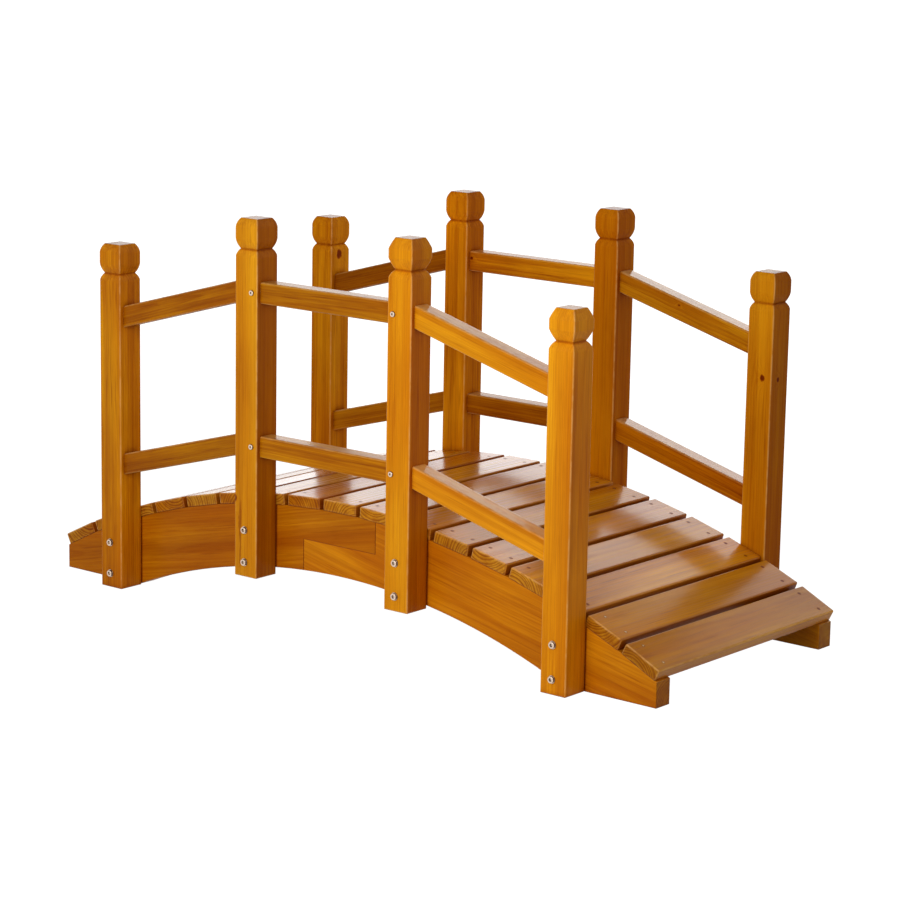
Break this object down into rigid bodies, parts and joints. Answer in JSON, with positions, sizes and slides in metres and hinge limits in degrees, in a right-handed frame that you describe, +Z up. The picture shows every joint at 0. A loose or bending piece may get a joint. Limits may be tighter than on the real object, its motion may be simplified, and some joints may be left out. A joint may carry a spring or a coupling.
{
  "type": "garden footbridge",
  "caption": "Arched timber garden footbridge: slatted deck on two lap-jointed arched stringers, square posts with cushion caps, upper and lower rails on both sides.",
  "frame": {"origin": "on the ground under the middle of the bridge", "axes": "+X along the bridge from its rear end to its front end, +Y to the left of a person walking forward, +Z up"},
  "size_m": [1.5088, 0.695, 0.7854],
  "materials": {
    "post_wood": "honey-stained softwood, satin varnish",
    "rail_wood": "honey-stained softwood, satin varnish",
    "stringer_wood": "honey-stained softwood, satin varnish",
    "deck_wood": "honey-stained softwood, glossy varnish",
    "zinc_steel": "bright zinc plating"
  },
  "bodies": {
    "root": {"deck_board_01": "deck_wood", "deck_board_02": "deck_wood", "deck_board_03": "deck_wood", "deck_board_04": "deck_wood", "deck_board_05": "deck_wood", "deck_board_06": "deck_wood", "deck_board_07": "deck_wood", "deck_board_08": "deck_wood", "deck_board_09": "deck_wood", "deck_board_10": "deck_wood", "deck_board_11": "deck_wood", "deck_board_12": "deck_wood", "deck_board_13": "deck_wood", "deck_board_14": "deck_wood", "deck_board_15": "deck_wood", "deck_board_16": "deck_wood", "deck_board_17": "deck_wood", "post_bolts_left": "zinc_steel", "post_bolts_right": "zinc_steel", "post_left_front_end": "post_wood", "post_left_front_middle": "post_wood", "post_left_rear_end": "post_wood", "post_left_rear_middle": "post_wood", "post_right_front_end": "post_wood", "post_right_front_middle": "post_wood", "post_right_rear_end": "post_wood", "post_right_rear_middle": "post_wood", "rail_left_front_lower": "rail_wood", "rail_left_front_upper": "rail_wood", "rail_left_middle_lower": "rail_wood", "rail_left_middle_upper": "rail_wood", "rail_left_rear_lower": "rail_wood", "rail_left_rear_upper": "rail_wood", "rail_right_front_lower": "rail_wood", "rail_right_front_upper": "rail_wood", "rail_right_middle_lower": "rail_wood", "rail_right_middle_upper": "rail_wood", "rail_right_rear_lower": "rail_wood", "rail_right_rear_upper": "rail_wood", "rail_screws_left": "zinc_steel", "rail_screws_right": "zinc_steel", "stringer_left_front": "stringer_wood", "stringer_left_rear": "stringer_wood", "stringer_right_front": "stringer_wood", "stringer_right_rear": "stringer_wood"}
  },
  "joints": []
}
